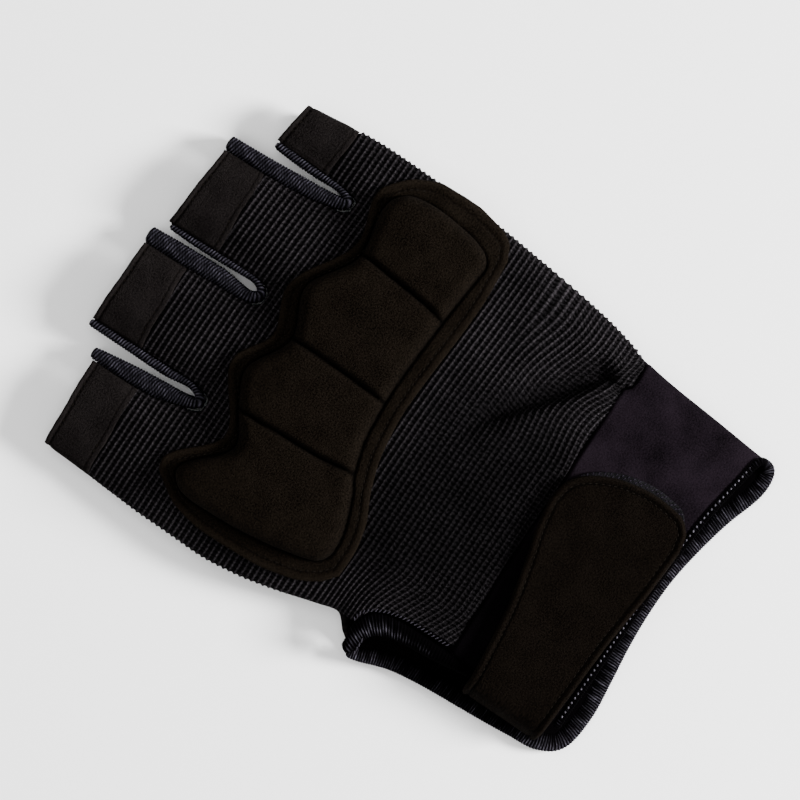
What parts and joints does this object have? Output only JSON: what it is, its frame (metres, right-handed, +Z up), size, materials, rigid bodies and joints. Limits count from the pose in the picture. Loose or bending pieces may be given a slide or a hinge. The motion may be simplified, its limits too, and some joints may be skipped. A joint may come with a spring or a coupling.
{
  "type": "fingerless tactical glove",
  "caption": "Right-hand fingerless glove lying palm down: ribbed knit back, padded knuckle cells, open finger mouths, thumb hole and hook-and-loop wrist strap.",
  "frame": {"origin": "centre of the glove's bounding box on the surface that it lies on", "axes": "+Y towards the fingertips, +X towards the little finger, +Z up from the palm to the back of the hand"},
  "size_m": [0.1114, 0.1644, 0.0211],
  "materials": {
    "rib_knit": "black ribbed elastic knit with a dull thread sheen",
    "palm_suede": "matte black synthetic suede",
    "back_suede": "matte charcoal synthetic suede",
    "knuckle_suede": "matte warm black synthetic suede",
    "elastic_tape": "satin ribbed elastic tape",
    "stretch_fabric": "smooth matte stretch fabric",
    "overlock_thread": "close overlocked thread with a soft sheen",
    "loop_pile": "short matte loop pile"
  },
  "bodies": {
    "root": {"back_panel": "rib_knit", "palm_panel": "palm_suede", "finger_hem_index": "back_suede", "finger_hem_middle": "back_suede", "finger_hem_ring": "back_suede", "finger_hem_little": "back_suede", "finger_gusset_1": "elastic_tape", "finger_gusset_2": "elastic_tape", "finger_gusset_3": "elastic_tape", "knuckle_patch": "knuckle_suede", "knuckle_cell_1": "knuckle_suede", "knuckle_cell_2": "knuckle_suede", "knuckle_cell_3": "knuckle_suede", "knuckle_cell_4": "knuckle_suede", "wrist_cuff": "stretch_fabric", "cuff_binding": "overlock_thread", "thumb_rim": "overlock_thread", "strap_loop": "loop_pile", "wrist_strap": "knuckle_suede"}
  },
  "joints": []
}
